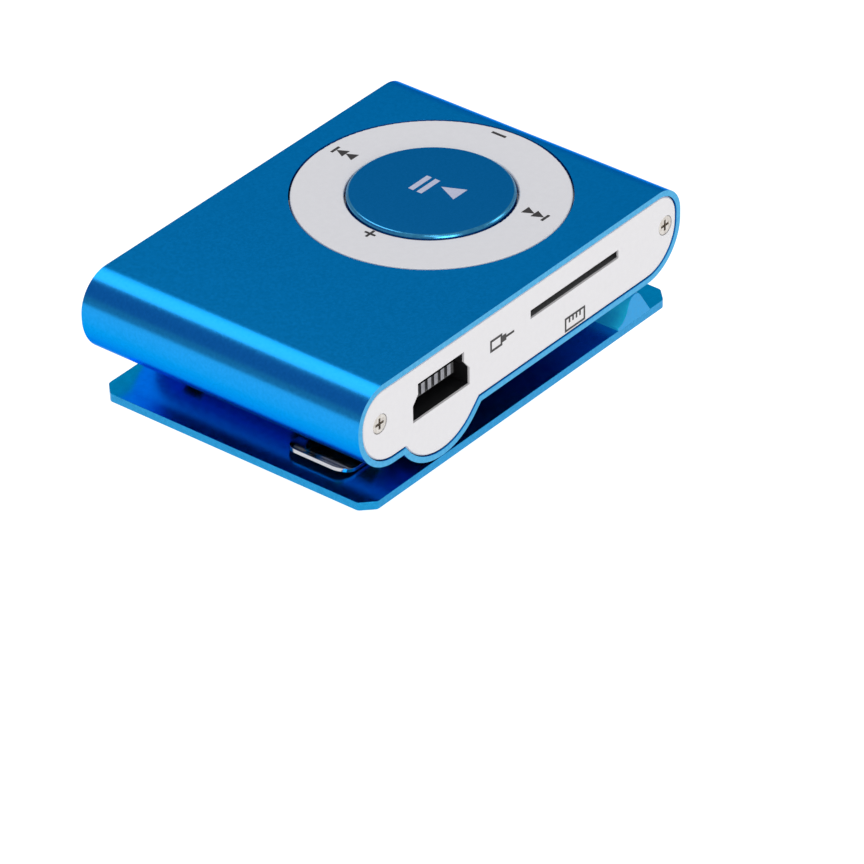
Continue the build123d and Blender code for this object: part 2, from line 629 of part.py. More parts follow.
with BuildPart() as key_pad:
    ring_disc(*KEY_PAD_Z, KEY_PAD_RADIUS, inner=KEY_PAD_HOLE_RADIUS)
    for key_x, key_y in key_points(KEY_CIRCLE_RADIUS):
        with Locations((key_x, key_y, sum(KEY_PLUNGER_Z) / 2)):
            Cylinder(KEY_PLUNGER_RADIUS, KEY_PLUNGER_Z[1] - KEY_PLUNGER_Z[0])
save(key_pad, "key_pad")

with BuildPart() as control_ring:
    ring_disc(RING_RIM_Z, FACE_Z, RING_RADIUS)
    for tab_angle in (45, 135, 225, 315):
        tab_x = RING_X + (RING_RADIUS - 0.3) * cos(radians(tab_angle))
        tab_y = RING_Y + (RING_RADIUS - 0.3) * sin(radians(tab_angle))
        tab_z = (RING_RIM_Z + RING_TAB_TOP_Z) / 2
        with Locations(Location((tab_x, tab_y, tab_z), (0, 0, tab_angle))):
            Box(2 * (RING_TAB_RADIUS - RING_RADIUS + 0.3), RING_TAB_WIDE, RING_TAB_TOP_Z - RING_RIM_Z)
    ring_disc(RING_RIM_Z, RING_PLATE_Z, RING_RIM_RADIUS, mode=Mode.SUBTRACT)
    ring_disc(RING_RIM_Z, FACE_Z, RING_INNER_RADIUS, mode=Mode.SUBTRACT)
    fillet(control_ring.faces().sort_by(Axis.Z)[-1].edges(), RING_EDGE_RADIUS)
save(control_ring, "control_ring")

with BuildPart() as select_button:
    ring_disc(BUTTON_JOIN_Z, BUTTON_TOP_Z, BUTTON_RADIUS)
    chamfer(select_button.faces().sort_by(Axis.Z)[-1].edges(), BUTTON_EDGE)
save(select_button, "select_button")

with BuildPart() as select_button_base:
    ring_disc(BUTTON_BASE_Z, BUTTON_JOIN_Z, BUTTON_RADIUS - 0.2)
    ring_disc(BUTTON_BASE_Z, BUTTON_FLANGE_TOP_Z, BUTTON_FLANGE_RADIUS)
save(select_button_base, "select_button_base")

# ---------------------------------------------------------------- power switch and light
with BuildPart() as switch_can:
    block((WINDOW_X - CAN_HALF_X, WINDOW_X + CAN_HALF_X), CAN_Y, (BOARD_TOP_Z, CAN_TOP_Z))
    stem_slot_x = (WINDOW_X - WINDOW_WIDE / 2, WINDOW_X + WINDOW_WIDE / 2)
    stem_slot_z = (SWITCH_Z - CAN_SLOT_TALL / 2, SWITCH_Z + CAN_SLOT_TALL / 2)
    block(stem_slot_x, (CAN_Y[1] - CAN_SLOT_DEEP, CAN_Y[1]), stem_slot_z, mode=Mode.SUBTRACT)
save(switch_can, "switch_can")

with BuildPart() as switch_knob:
    knob_y = HALF_Y - KNOB_SUNK
    knob = rectangle_section(knob_y, SWITCH_X, SWITCH_Z, KNOB_WIDE, KNOB_TALL)
    extrude(knob, amount=KNOB_DEEP)
    # Finger grooves across the knob
    for index in (-1, 0, 1):
        groove_x = SWITCH_X + index * KNOB_GROOVE_PITCH
        groove = rectangle_section(knob_y, groove_x, SWITCH_Z, KNOB_GROOVE_WIDE, KNOB_TALL)
        extrude(groove, amount=KNOB_SUNK, mode=Mode.SUBTRACT)
    stem = rectangle_section(knob_y - KNOB_DEEP, SWITCH_X, SWITCH_Z, KNOB_STEM_WIDE, KNOB_STEM_TALL)
    extrude(stem, amount=KNOB_STEM_DEEP)
save(switch_knob, "switch_knob")

with BuildPart() as status_light:
    block((LIGHT_X - LIGHT_HALF_X, LIGHT_X + LIGHT_HALF_X), LIGHT_Y, (BOARD_TOP_Z, LIGHT_Z + 0.2))
save(status_light, "status_light")

with BuildPart() as light_window:
    light = circle_section(CAP_FACE_Y, LIGHT_X, LIGHT_Z, LIGHT_RADIUS)
    extrude(light, amount=CAP_THICK)
save(light_window, "light_window")

# ---------------------------------------------------------------- clip
with BuildPart() as clip_plate:
    block((PLATE_LEFT_X, PLATE_RIGHT_X), PLATE_Y, (0, PLATE_THICK))
    chamfer(clip_plate.edges().filter_by(Axis.Z), PLATE_CORNER)
    fillet(clip_plate.edges().filter_by(Axis.Z), PLATE_CORNER_ROUND)
    # Gripping ridge, full width: hollowed foot toward the hinge, sloped toward the lip
    with BuildSketch(across(PLATE_Y[1])):
        with BuildLine():
            Line((16.6, PLATE_THICK), (16.6, PLATE_THICK / 2))
            Line((16.6, PLATE_THICK / 2), (12.3, PLATE_THICK / 2))
            Line((12.3, PLATE_THICK / 2), (12.3, PLATE_THICK))
            ThreePointArc((12.3, PLATE_THICK), (13.1, 1.25), (13.6, 2.2))
            Line((13.6, 2.2), (13.85, 2.8))
            ThreePointArc((13.85, 2.8), (14.1, 3.1), (14.5, RIDGE_TOP_Z))
            ThreePointArc((14.5, RIDGE_TOP_Z), (15.0, 3.1), (15.3, 2.75))
            Line((15.3, 2.75), (16.6, PLATE_THICK))
        make_face()
    extrude(amount=PLATE_Y[1] - PLATE_Y[0])
    # Square holes in which the hinge lugs are staked
    for lug_y in LUG_YS:
        hole_y = (lug_y - TENON_THICK / 2, lug_y + TENON_THICK / 2)
        hole_x = (PIN_X - TENON_WIDE / 2, PIN_X + TENON_WIDE / 2)
        block(hole_x, hole_y, (0, PLATE_THICK), mode=Mode.SUBTRACT)
save(clip_plate, "clip_plate")

# Two stamped lugs that carry the plate on the hinge pin
with BuildPart() as hinge_lugs:
    for lug_y in LUG_YS:
        lug_high_y = lug_y + LUG_THICK / 2
        extrude(circle_section(lug_high_y, PIN_X, PIN_Z, LUG_RADIUS), amount=LUG_THICK)
        neck_y = (lug_y - LUG_THICK / 2, lug_high_y)
        block((PIN_X - LUG_RADIUS, PIN_X + LUG_RADIUS), neck_y, (PLATE_THICK, PIN_Z))
        tenon_y = (lug_y - TENON_THICK / 2, lug_y + TENON_THICK / 2)
        block((PIN_X - TENON_WIDE / 2, PIN_X + TENON_WIDE / 2), tenon_y, (0, PLATE_THICK))
        pin_hole = circle_section(lug_high_y, PIN_X, PIN_Z, PIN_RADIUS + 0.05)
        extrude(pin_hole, amount=LUG_THICK, mode=Mode.SUBTRACT)
save(hinge_lugs, "hinge_lugs")

# Flat steel spring: wrapped round the pin, tongue on the plate, short arm in the boss
with BuildPart() as clip_spring:
    coil_radius = PIN_RADIUS + 0.15 + SPRING_THICK / 2
    with BuildSketch(across(SPRING_Y + SPRING_WIDE / 2)):
        with BuildLine() as spring_line:
            Line((-8.9, PIN_Z + 1.15), (-10.7, PIN_Z + coil_radius))
            Line((-10.7, PIN_Z + coil_radius), (PIN_X, PIN_Z + coil_radius))
            CenterArc((PIN_X, PIN_Z), coil_radius, 90, 180)
            RadiusArc((PIN_X, PIN_Z - coil_radius), (-13.6, 1.02), 9.0)
            Line((-13.6, 1.02), (-15.4, 1.0))
            ThreePointArc((-15.4, 1.0), (-16.4, 1.08), (SPRING_TIP_X, 1.35))
        trace(line_width=SPRING_THICK)
    extrude(amount=SPRING_WIDE)
    # Rounded corners of the tongue
    tip_edges = clip_spring.edges().filter_by(lambda edge: edge.center().X < SPRING_TIP_X + 0.2)
    side_edges = tip_edges.sort_by(Axis.Y)
    fillet([side_edges[0], side_edges[-1]], SPRING_CORNER)
save(clip_spring, "clip_spring")
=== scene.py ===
"""Looks of the clip-on digital audio player: materials, printed signs, finely edged case, button and clip."""

import math

import bmesh
import bpy
from mathutils import Euler, Matrix, Vector


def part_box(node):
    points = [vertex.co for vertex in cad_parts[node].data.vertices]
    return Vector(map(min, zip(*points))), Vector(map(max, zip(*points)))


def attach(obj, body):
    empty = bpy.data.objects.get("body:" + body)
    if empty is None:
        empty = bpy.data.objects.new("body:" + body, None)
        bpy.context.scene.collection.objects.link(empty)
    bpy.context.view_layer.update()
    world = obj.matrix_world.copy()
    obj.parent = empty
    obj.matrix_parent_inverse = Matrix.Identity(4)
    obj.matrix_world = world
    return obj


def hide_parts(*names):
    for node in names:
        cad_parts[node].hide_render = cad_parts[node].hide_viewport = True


MM = 0.001

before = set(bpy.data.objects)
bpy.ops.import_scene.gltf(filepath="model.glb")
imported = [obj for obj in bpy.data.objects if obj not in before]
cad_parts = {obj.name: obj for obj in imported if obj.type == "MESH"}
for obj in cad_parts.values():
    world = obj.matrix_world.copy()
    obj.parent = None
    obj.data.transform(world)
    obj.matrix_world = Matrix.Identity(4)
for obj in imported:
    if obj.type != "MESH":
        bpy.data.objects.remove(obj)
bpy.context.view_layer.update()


# ---------------------------------------------------------------- camera
VIEW_AZIMUTH = math.radians(-50.787)
VIEW_ELEVATION = math.radians(33.629)
VIEW_ROLL = math.radians(-0.929)
VIEW_DISTANCE = 0.5449
VIEW_AIM = Vector((-0.00899, -0.01196, 0.00157))
VIEW_LENS = 291.35


def add_camera():
    """Long lens, looking down on the front cap from the hinge end."""
    level = math.cos(VIEW_ELEVATION)
    back = Vector((
        math.sin(VIEW_AZIMUTH) * level,
        -math.cos(VIEW_AZIMUTH) * level,
        math.sin(VIEW_ELEVATION),
    ))
    side = Vector((0, 0, 1)).cross(back).normalized()
    upward = back.cross(side)
    turn = Matrix((side, upward, back)).transposed()
    data = bpy.data.cameras.new("camera")
    data.lens = VIEW_LENS
    data.clip_start = 0.01
    camera = bpy.data.objects.new("camera", data)
    bpy.context.collection.objects.link(camera)
    spin = Matrix.Rotation(VIEW_ROLL, 4, back)
    camera.matrix_world = Matrix.Translation(VIEW_AIM + back * VIEW_DISTANCE) @ spin @ turn.to_4x4()
    bpy.context.scene.camera = camera


# ---------------------------------------------------------------- materials
BROAD_DETAIL = 4.0
FINE_DETAIL = 2.0
FINER = 3
RELIEF_STRENGTH = 0.6
COAT_ROUGHNESS = 0.12
COLOR_SPAN = (0.35, 0.65)
VALUE_SPAN = (0.3, 0.7)
BLUE_EDGE = (0.05, 0.40, 0.85)


def new_material(name):
    """Empty node material with a shader, its output and object coordinates."""
    material = bpy.data.materials.new(name)
    material.use_nodes = True
    nodes = material.node_tree.nodes
    nodes.clear()
    output = nodes.new("ShaderNodeOutputMaterial")
    shader = nodes.new("ShaderNodeBsdfPrincipled")
    material.node_tree.links.new(shader.outputs["BSDF"], output.inputs["Surface"])
    return material, shader


def noise(material, per_mm, detail):
    """Noise in object space with about per_mm grains to the millimetre."""
    nodes, links = material.node_tree.nodes, material.node_tree.links
    place = nodes.new("ShaderNodeTexCoord")
    scale = nodes.new("ShaderNodeMapping")
    scale.inputs["Scale"].default_value = [per_mm / MM] * 3
    texture = nodes.new("ShaderNodeTexNoise")
    texture.inputs["Scale"].default_value = 1.0
    texture.inputs["Detail"].default_value = detail
    links.new(place.outputs["Object"], scale.inputs["Vector"])
    links.new(scale.outputs["Vector"], texture.inputs["Vector"])
    return texture.outputs["Fac"]


def blend_color(material, factor, low, high):
    """Colour that runs from low to high with a noise factor."""
    ramp = material.node_tree.nodes.new("ShaderNodeValToRGB")
    ramp.color_ramp.elements[0].position = COLOR_SPAN[0]
    ramp.color_ramp.elements[0].color = (*low, 1)
    ramp.color_ramp.elements[1].position = COLOR_SPAN[1]
    ramp.color_ramp.elements[1].color = (*high, 1)
    material.node_tree.links.new(factor, ramp.inputs["Fac"])
    return ramp.outputs["Color"]


def blend_value(material, factor, low, high):
    """Number that runs from low to high with a noise factor."""
    span = material.node_tree.nodes.new("ShaderNodeMapRange")
    span.inputs["From Min"].default_value = VALUE_SPAN[0]
    span.inputs["From Max"].default_value = VALUE_SPAN[1]
    span.inputs["To Min"].default_value = low
    span.inputs["To Max"].default_value = high
    material.node_tree.links.new(factor, span.inputs["Value"])
    return span.outputs["Result"]


def bump(material, shader, height, depth_mm, strength):
    """Fine relief of a given depth."""
    node = material.node_tree.nodes.new("ShaderNodeBump")
    node.inputs["Strength"].default_value = strength
    node.inputs["Distance"].default_value = depth_mm * MM
    material.node_tree.links.new(height, node.inputs["Height"])
    material.node_tree.links.new(node.outputs["Normal"], shader.inputs["Normal"])


def surface(name, low, high, metallic, roughness, grain, relief, coat=0.0, edge=(1, 1, 1)):
    """Grained surface: two close colours, a roughness span, grains per millimetre, a relief depth in mm."""
    material, shader = new_material(name)
    links = material.node_tree.links
    broad = noise(material, grain, BROAD_DETAIL)
    small = noise(material, grain * FINER, FINE_DETAIL)
    links.new(blend_color(material, broad, low, high), shader.inputs["Base Color"])
    links.new(blend_value(material, broad, *roughness), shader.inputs["Roughness"])
    shader.inputs["Metallic"].default_value = metallic
    shader.inputs["Specular Tint"].default_value = (*edge, 1)
    shader.inputs["Coat Weight"].default_value = coat
    shader.inputs["Coat Roughness"].default_value = COAT_ROUGHNESS
    bump(material, shader, small, relief, RELIEF_STRENGTH)
    return material


def blue_metals():
    """The anodised finishes: blasted case and button, smoother clip plate and bright cut edges; a blasted,
    much lighter and almost non-metallic copy on the ridge as painted light, and a darker copy on the clip's
    edges as painted shade.
    """
    return {
        "blue_case": surface(
            "blue_case", (0.012, 0.285, 0.70), (0.016, 0.31, 0.76),
            metallic=1.0, roughness=(0.21, 0.25), grain=4, relief=0.002, edge=BLUE_EDGE,
        ),
        "blue_button": surface(
            "blue_button", (0.020, 0.22, 0.55), (0.024, 0.235, 0.59),
            metallic=1.0, roughness=(0.22, 0.26), grain=5, relief=0.0006, edge=BLUE_EDGE,
        ),
        "blue_clip": surface(
            "blue_clip", (0.006, 0.40, 0.82), (0.008, 0.44, 0.88),
            metallic=1.0, roughness=(0.18, 0.24), grain=2, relief=0.0002, edge=BLUE_EDGE,
        ),
        # Painted light: a much lighter, almost non-metallic copy of the anodised blue, so the ridge's sides
        # look lit from the front.
        "ridge_painted_light": surface(
            "ridge_painted_light", (0.02, 0.66, 0.98), (0.025, 0.72, 0.99),
            metallic=0.1, roughness=(0.45, 0.55), grain=4, relief=0.002, edge=BLUE_EDGE,
        ),
        "ridge_end": surface(
            "ridge_end", (0.006, 0.31, 0.66), (0.008, 0.34, 0.72),
            metallic=0.4, roughness=(0.45, 0.55), grain=4, relief=0.001,
        ),
        # Painted shade: a darker copy of the clip's blue for the plate's edges.
        "clip_edge_shade": surface(
            "clip_edge_shade", (0.012, 0.24, 0.50), (0.016, 0.28, 0.58),
            metallic=1.0, roughness=(0.2, 0.3), grain=3, relief=0.0005,
        ),
        "cut_edge": surface(
            "cut_edge", (0.05, 0.32, 0.58), (0.07, 0.38, 0.66),
            metallic=1.0, roughness=(0.16, 0.24), grain=3, relief=0.0005,
        ),
    }


def plastics():
    """Moulded, rubber, film and printed finishes, with a lighter white on the ring as painted light and a
    dark grey on the card socket as painted shade.
    """
    return {
        "white_plastic": surface(
            "white_plastic", (0.775, 0.76, 0.765), (0.79, 0.775, 0.78),
            metallic=0.0, roughness=(0.32, 0.40), grain=2, relief=0.002,
        ),
        # Painted light: a lighter copy of the white plastic, so the ring's upward face looks more lit than
        # the caps.
        "ring_white": surface(
            "ring_white", (0.885, 0.875, 0.88), (0.90, 0.89, 0.895),
            metallic=0.0, roughness=(0.34, 0.44), grain=2, relief=0.002,
        ),
        "black_plastic": surface(
            "black_plastic", (0.006, 0.006, 0.007), (0.011, 0.011, 0.012),
            metallic=0.0, roughness=(0.4, 0.55), grain=3, relief=0.003,
        ),
        # Painted shade: dark grey on the card socket, so the slot in the cap reads dark like shade in a
        # recess.
        "socket_painted_shade": surface(
            "socket_painted_shade", (0.10, 0.10, 0.10), (0.14, 0.14, 0.14),
            metallic=0.0, roughness=(0.5, 0.65), grain=3, relief=0.003,
        ),
        "chip_black": surface(
            "chip_black", (0.02, 0.02, 0.021), (0.035, 0.035, 0.037),
            metallic=0.0, roughness=(0.5, 0.65), grain=6, relief=0.005,
        ),
        "chip_brown": surface(
            "chip_brown", (0.16, 0.10, 0.06), (0.24, 0.15, 0.1),
            metallic=0.0, roughness=(0.4, 0.5), grain=5, relief=0.003,
        ),
        "board": surface(
            "board", (0.01, 0.10, 0.04), (0.02, 0.16, 0.07),
            metallic=0.0, roughness=(0.3, 0.4), grain=1.5, relief=0.01, coat=0.5,
        ),
        "foam": surface(
            "foam", (0.05, 0.05, 0.055), (0.09, 0.09, 0.095),
            metallic=0.0, roughness=(0.8, 0.95), grain=5, relief=0.05,
        ),
        "keypad_amber": surface(
            "keypad_amber", (0.45, 0.2, 0.03), (0.58, 0.28, 0.05),
            metallic=0.0, roughness=(0.25, 0.35), grain=2, relief=0.004,
        ),
        "silicone": surface(
            "silicone", (0.50, 0.51, 0.53), (0.58, 0.59, 0.61),
            metallic=0.0, roughness=(0.5, 0.6), grain=3, relief=0.004,
        ),
        "clear_window": surface(
            "clear_window", (0.75, 0.80, 0.85), (0.82, 0.87, 0.92),
            metallic=0.0, roughness=(0.1, 0.2), grain=2, relief=0.001,
        ),
        "ink_dark": surface(
            "ink_dark", (0.018, 0.015, 0.015), (0.035, 0.03, 0.03),
            metallic=0.0, roughness=(0.45, 0.6), grain=6, relief=0.002,
        ),
        "ink_silver": surface(
            "ink_silver", (0.55, 0.58, 0.75), (0.62, 0.65, 0.80),
            metallic=0.0, roughness=(0.35, 0.5), grain=6, relief=0.002,
        ),
    }


def bare_metals():
    """Plated, tinned and polished steel, foil and contacts."""
    return {
        "bright_steel": surface(
            "bright_steel", (0.50, 0.46, 0.42), (0.66, 0.63, 0.59),
            metallic=1.0, roughness=(0.18, 0.3), grain=4, relief=0.004,
        ),
        "socket_steel": surface(
            "socket_steel", (0.30, 0.30, 0.30), (0.38, 0.38, 0.38),
            metallic=1.0, roughness=(0.3, 0.42), grain=3, relief=0.002,
        ),
        "spring_chrome": surface(
            "spring_chrome", (0.46, 0.47, 0.50), (0.54, 0.55, 0.58),
            metallic=1.0, roughness=(0.10, 0.16), grain=3, relief=0.0005,
        ),
        "contact_gold": surface(
            "contact_gold", (0.22, 0.22, 0.24), (0.30, 0.30, 0.32),
            metallic=1.0, roughness=(0.25, 0.35), grain=6, relief=0.001,
        ),
        "battery_wrap": surface(
            "battery_wrap", (0.50, 0.52, 0.55), (0.62, 0.64, 0.67),
            metallic=1.0, roughness=(0.3, 0.45), grain=1.2, relief=0.02,
        ),
    }


def make_materials():
    """Every material by name: one for each slot of the record, and those of printed signs and cut edges."""
    return {**blue_metals(), **plastics(), **bare_metals()}


# ---------------------------------------------------------------- solid shapes
def arc(center, radius, start_deg, turn_deg, steps=24):
    """Points of an arc, ends included, anticlockwise for a positive turn."""
    angles = [math.radians(start_deg + turn_deg * step / steps) for step in range(steps + 1)]
    return [(center[0] + radius * math.cos(a), center[1] + radius * math.sin(a)) for a in angles]


def link_mesh(name, mesh):
    """Object from a finished bmesh."""
    bmesh.ops.recalc_face_normals(mesh, faces=mesh.faces)
    data = bpy.data.meshes.new(name)
    mesh.to_mesh(data)
    mesh.free()
    piece = bpy.data.objects.new(name, data)
    bpy.context.collection.objects.link(piece)
    return piece


def add_prism(mesh, outline, low, high, along):
    """Adds a closed prism to a bmesh: along "Y" its outline is drawn in (x, z), along "Z" in (x, y)."""
    ends = []
    for level in (low, high):
        if along == "Y":
            ring = [mesh.verts.new((x * MM, level * MM, z * MM)) for x, z in outline]
        else:
            ring = [mesh.verts.new((x * MM, y * MM, level * MM)) for x, y in outline]
        ends.append(ring)
        mesh.faces.new(ring)
    for index in range(len(outline)):
        after = (index + 1) % len(outline)
        mesh.faces.new((ends[0][index], ends[0][after], ends[1][after], ends[1][index]))


def prism(name, outline, low, high, along):
    """Solid from one outline in millimetres."""
    mesh = bmesh.new()
    add_prism(mesh, outline, low, high, along)
    return link_mesh(name, mesh)


def tube(name, outer, inner, low, high):
    """Hollow prism along Y between two outlines that have the same number of points."""
    mesh = bmesh.new()
    rings = []
    for outline in (outer, inner):
        for level in (low, high):
            rings.append([mesh.verts.new((x * MM, level * MM, z * MM)) for x, z in outline])
    walls = ((rings[0], rings[1]), (rings[2], rings[3]), (rings[0], rings[2]), (rings[1], rings[3]))
    for first, second in walls:
        for index in range(len(outer)):
            after = (index + 1) % len(outer)
            mesh.faces.new((first[index], first[after], second[after], second[index]))
    return link_mesh(name, mesh)


def lathe(name, profile, center, steps=192):
    """Solid turned about a vertical line: profile is a list of (radius, z), open at the axis."""
    mesh = bmesh.new()
    rings = []
    for radius, z in profile:
        if radius == 0:
            rings.append([mesh.verts.new((center[0] * MM, center[1] * MM, z * MM))])
            continue
        ring = []
        for step in range(steps):
            angle = 2 * math.pi * step / steps
            x = center[0] + radius * math.cos(angle)
            y = center[1] + radius * math.sin(angle)
            ring.append(mesh.verts.new((x * MM, y * MM, z * MM)))
        rings.append(ring)
    for first, second in zip(rings, rings[1:]):
        for step in range(steps):
            after = (step + 1) % steps
            corners = [first[step % len(first)], first[after % len(first)]]
            corners += [second[after % len(second)], second[step % len(second)]]
            mesh.faces.new(list(dict.fromkeys(corners)))
    return link_mesh(name, mesh)


def apply_modifiers(piece):
    """Bakes a piece's modifiers into its mesh."""
    seen = piece.evaluated_get(bpy.context.evaluated_depsgraph_get())
    data = bpy.data.meshes.new_from_object(seen)
    piece.modifiers.clear()
    piece.data = data


def combine(piece, other, operation):
    """Joins or cuts a piece with another solid, which is then removed."""
    modifier = piece.modifiers.new("combine", "BOOLEAN")
    modifier.operation = operation
    modifier.solver = "EXACT"
    modifier.object = other
    apply_modifiers(piece)
    bpy.data.objects.remove(other)


def round_edges(piece, width, angle_deg=35, steps=3):
    """Rounds every edge sharper than an angle, and shades the rest smooth."""
    modifier = piece.modifiers.new("round", "BEVEL")
    modifier.width = width * MM
    modifier.segments = steps
    modifier.limit_method = "ANGLE"
    modifier.angle_limit = math.radians(angle_deg)
    modifier.use_clamp_overlap = True
    modifier.harden_normals = True
    for polygon in piece.data.polygons:
        polygon.use_smooth = True
    apply_modifiers(piece)


def cover(piece, body, slot, *nodes):
    """A finished piece rides on its body and stands for its CAD nodes; the slot argument is not used."""
    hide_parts(*nodes)
    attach(piece, body)


# ---------------------------------------------------------------- case, button, clip and spring
# Millimetres. Points are (x, z) in a section along Y and (x, y) in a plan.
HALF_X = 20.37
HALF_Y = 14.0
FACE_Z = 11.15
UNDERSIDE_Z = 3.4
WALL = 0.5
RIGHT_RADIUS = 2.8
LEFT_RADIUS = 3.1
LOWER_RADIUS = 4.35
BOSS = (-10.2, 6.6)
BOSS_RADIUS = 5.7
BOSS_END_DEG = 135
RING = (6.55, 0.4)
OPENING_RADIUS = 11.4
OPENING_DEPTH = 1.5
CASE_EDGE = 0.05
END_BAND = 0.01

PIN = (-11.5, 2.55)
LUG_YS = (-2.4, 8.6)
LUG_SLOT_X = (-2.4, 2.2)
LUG_SLOT_HALF_Y = 0.95
LUG_HOLE_HALF = (0.8, 0.5)
SPRING_Y = -6.85
SPRING_SLOT_HALF_Y = 3.4
SPRING_SLOT_REACH = 0.6
SPRING_SLOT_TOP = 2.75

BUTTON_TOP = 11.43
BUTTON_RADIUS = 6.82
BUTTON_FOOT = 10.25
CROWN_STEP = 1.3
CROWN_FALL = 0.0005
BUTTON_EDGE = ((0.22, 0.005), (0.14, 0.04), (0.05, 0.13), (0.0, 0.24))
EDGE_WIDTH = 0.21
EDGE_HEIGHT = 0.26
SHARP_DEG = 18

PLATE_X = (-19.22, 19.4)
PLATE_Y = (-13.9, 13.5)
PLATE_THICK = 0.75
PLATE_CUT = 1.1
CUT_ROUND = 0.5
PLATE_EDGE = 0.07
RIDGE_LIP = ((16.55, 0.4), (16.55, 0.75), (15.3, 2.7))
RIDGE_CREST = ((14.55, 2.42), 0.75)
RIDGE_FOOT = ((12.0, 2.6), 1.65)
RIDGE_SHOULDER = (13.83, 2.75)
RIDGE_HEEL = (12.4, 0.4)
RIDGE_X = (12.3, 16.5)
RIDGE_Z = 0.76

LEAF_THICK = 0.3
LEAF_WIDE = 6.3
LEAF_CORNER = 1.3
COIL_RADIUS = 0.85
LEAF_ROOT = ((-8.9, PIN[1] + 1.15), (-9.8, PIN[1] + 1.05), (-10.7, PIN[1] + COIL_RADIUS))
LEAF_TONGUE = (
    (-12.2, 1.45), (-13.0, 1.12), (-13.8, 1.0), (-14.8, 1.0), (-15.6, 1.01),
    (-16.0, 1.04), (-16.3, 1.08), (-16.6, 1.14), (-16.8, 1.2), (-16.95, 1.25), (-17.08, 1.28),
    (-17.18, 1.31), (-17.26, 1.33), (-17.31, 1.34), (-17.34, 1.35),
)
LEAF_EDGE = 0.1


def case_outline(inset):
    """Case section in (x, z), moved inwards, anticlockwise from the right-hand side."""
    half_x = HALF_X - inset
    top = FACE_Z - inset
    low = UNDERSIDE_Z + inset
    right, left, bottom, boss = (
        radius - inset for radius in (RIGHT_RADIUS, LEFT_RADIUS, LOWER_RADIUS, BOSS_RADIUS)
    )
    foot_deg = math.degrees(math.asin((BOSS[1] - low) / boss))
    diagonal = boss * math.cos(math.radians(45))
    points = arc((half_x - right, top - right), right, 0, 90)
    points += arc((left - half_x, top - left), left, 90, 90, 28)
    points += arc((bottom - half_x, low + bottom), bottom, 180, 90, 28)
    points += arc(BOSS, boss, 180 + foot_deg, BOSS_END_DEG - foot_deg, 36)
    points += [(BOSS[0] + diagonal + low - (BOSS[1] - diagonal), low)]
    points += arc((half_x - bottom, low + bottom), bottom, 270, 90, 28)
    return points


def block(name, low, high):
    """Box solid between two corners in millimetres."""
    outline = [(low[0], low[1]), (high[0], low[1]), (high[0], high[1]), (low[0], high[1])]
    return prism(name, outline, low[2], high[2], "Z")


def build_case(made):
    """Extruded case with the ring opening, the slots of the hinge boss and lightly broken edges."""
    case = tube("case_shell", case_outline(0), case_outline(WALL), -HALF_Y, HALF_Y)
    circle = arc(RING, OPENING_RADIUS, 0, 358, 179)
    opening = prism("opening", circle, FACE_Z - OPENING_DEPTH, FACE_Z + 1, "Z")
    combine(case, opening, "DIFFERENCE")
    for lug_y in LUG_YS:
        low = (PIN[0] + LUG_SLOT_X[0], lug_y - LUG_SLOT_HALF_Y, 0)
        high = (PIN[0] + LUG_SLOT_X[1], lug_y + LUG_SLOT_HALF_Y, UNDERSIDE_Z)
        combine(case, block("slot", low, high), "DIFFERENCE")
    low = (BOSS[0] - BOSS_RADIUS, SPRING_Y - SPRING_SLOT_HALF_Y, 0)
    high = (PIN[0] + SPRING_SLOT_REACH, SPRING_Y + SPRING_SLOT_HALF_Y, SPRING_SLOT_TOP)
    combine(case, block("slot", low, high), "DIFFERENCE")
    case.data.materials.append(made["blue_case"])
    case.data.materials.append(made["cut_edge"])
    round_edges(case, CASE_EDGE)
    for polygon in case.data.polygons:
        at_end = abs(polygon.center.y) > (HALF_Y - END_BAND) * MM
        polygon.material_index = 1 if at_end and abs(polygon.normal.y) > 0.9 else 0
    cover(case, "player", "blue_case", "body_shell")


def build_button(made):
    """Centre button: faintly crowned cap with a bright turned edge."""
    crown = [(0, BUTTON_TOP)]
    crown += [(part * CROWN_STEP, BUTTON_TOP - CROWN_FALL * part) for part in range(1, 6)]
    edge = [(BUTTON_RADIUS - back, BUTTON_TOP - fall) for back, fall in BUTTON_EDGE]
    side = [(BUTTON_RADIUS, 10.3), (BUTTON_RADIUS - 0.05, BUTTON_FOOT), (0, BUTTON_FOOT)]
    button = lathe("button_cap", crown + edge + side, RING)
    button.data.materials.append(made["blue_button"])
    button.data.materials.append(made["cut_edge"])
    for polygon in button.data.polygons:
        polygon.use_smooth = True
        reach = math.hypot(polygon.center.x / MM - RING[0], polygon.center.y / MM - RING[1])
        on_edge = reach > BUTTON_RADIUS - EDGE_WIDTH and polygon.center.z > (BUTTON_TOP - EDGE_HEIGHT) * MM
        polygon.material_index = 1 if on_edge else 0
    button.data.set_sharp_from_angle(angle=math.radians(SHARP_DEG))
    cover(button, "button", "blue_button", "select_button")


def plate_outline():
    """Clip plate in (x, y) with cut corners, each point of them lightly rounded, anticlockwise."""
    left, right = PLATE_X
    low, high = PLATE_Y
    bend = CUT_ROUND * math.tan(math.radians(22.5))
    points = []
    for x, y, start in ((right, high, 0), (left, high, 90), (left, low, 180), (right, low, 270)):
        out_x = 1 if x > 0 else -1
        out_y = 1 if y > 0 else -1
        on_side = (x - out_x * CUT_ROUND, y - out_y * (PLATE_CUT + bend))
        on_end = (x - out_x * (PLATE_CUT + bend), y - out_y * CUT_ROUND)
        order = (on_side, on_end) if start in (0, 180) else (on_end, on_side)
        points += arc(order[0], CUT_ROUND, start, 45, 5) + arc(order[1], CUT_ROUND, start + 45, 45, 5)
    return points


def ridge_outline():
    """Gripping ridge in (x, z): steep towards the hinge, sloped towards the lip."""
    crest = arc(*RIDGE_CREST, 30, 110, 14)
    foot = arc(*RIDGE_FOOT, -14, -64, 10)
    return [*RIDGE_LIP, *crest, RIDGE_SHOULDER, *foot, RIDGE_HEEL]


